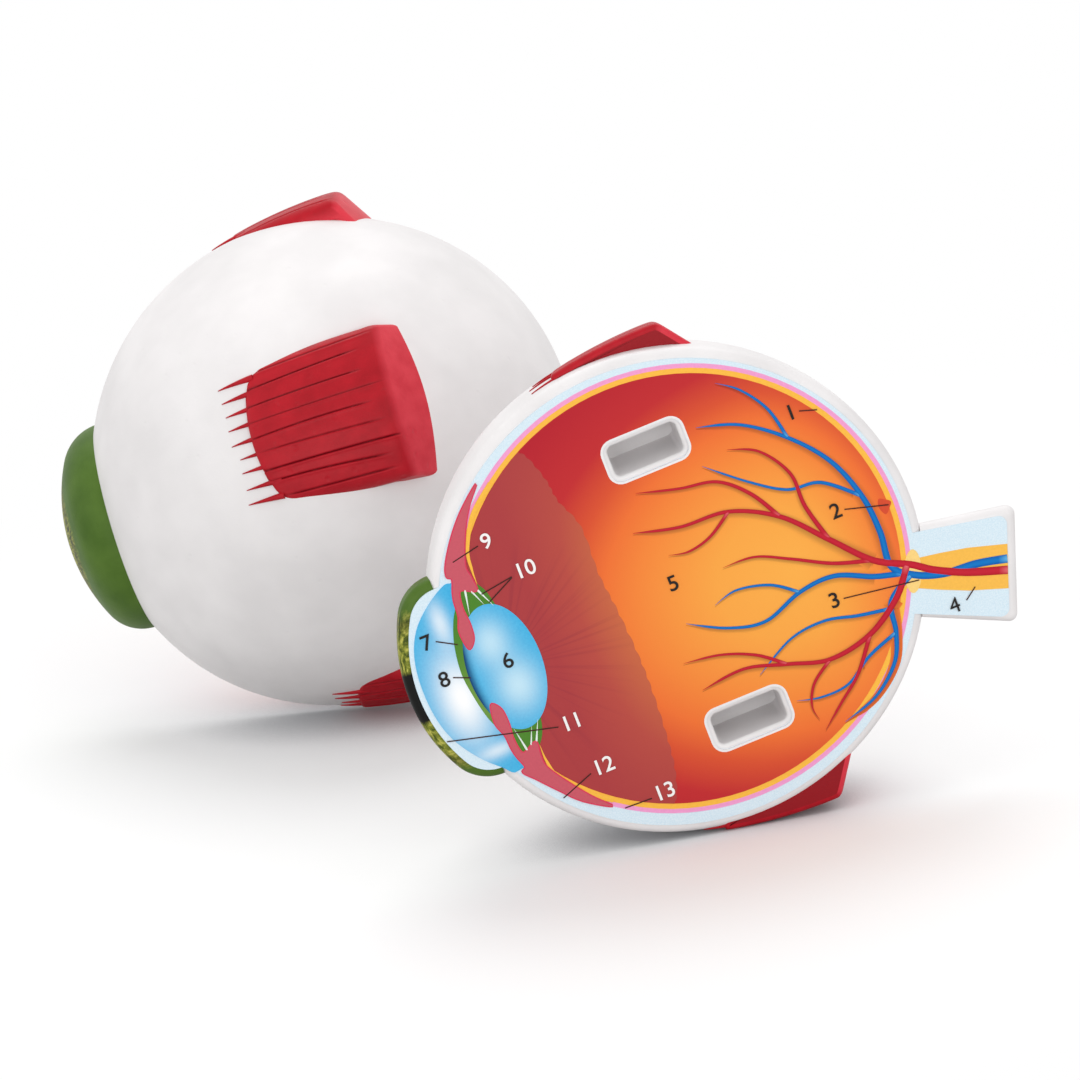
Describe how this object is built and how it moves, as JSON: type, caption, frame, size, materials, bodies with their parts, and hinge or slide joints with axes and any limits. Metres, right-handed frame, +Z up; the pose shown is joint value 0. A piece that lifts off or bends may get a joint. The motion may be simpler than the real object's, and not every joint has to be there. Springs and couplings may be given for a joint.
{
  "type": "eye anatomy model",
  "caption": "Take-apart foam eyeball model in two halves, with a printed cross-section, eye muscles, iris dome, optic nerve stub, and pegs that press into sockets.",
  "frame": {"origin": "on the table, under the middle of the two halves' overall footprint", "axes": "+X to the optic nerves' side, +Y away from the printed face that is in view, +Z up"},
  "size_m": [0.2272, 0.2046, 0.1274],
  "materials": {
    "white_foam": "matte",
    "green_foam": "matte",
    "red_foam": "matte",
    "tendon_red": "matte",
    "print": "satin"
  },
  "bodies": {
    "socket_half": {"socket_half_sclera": "white_foam", "socket_half_cornea_dome": "green_foam", "socket_half_optic_nerve": "white_foam", "socket_half_face_print": "print", "socket_half_upper_rectus": "red_foam", "socket_half_upper_tendon": "tendon_red", "socket_half_lower_rectus": "red_foam", "socket_half_lower_tendon": "tendon_red", "socket_half_side_rectus": "red_foam", "socket_half_side_tendon": "tendon_red"},
    "peg_half": {"peg_half_sclera": "white_foam", "peg_half_cornea_dome": "green_foam", "peg_half_optic_nerve": "white_foam", "peg_half_face_print": "print", "peg_half_upper_rectus": "red_foam", "peg_half_upper_tendon": "tendon_red", "peg_half_lower_rectus": "red_foam", "peg_half_lower_tendon": "tendon_red", "peg_half_side_rectus": "red_foam", "peg_half_side_tendon": "tendon_red", "upper_peg": "white_foam", "lower_peg": "white_foam"}
  },
  "joints": [
    {"name": "peg_half_slide", "type": "slide", "parent": "socket_half", "child": "peg_half", "axis": [-1, 0, 0], "range_m": [0, 0.1]}
  ]
}
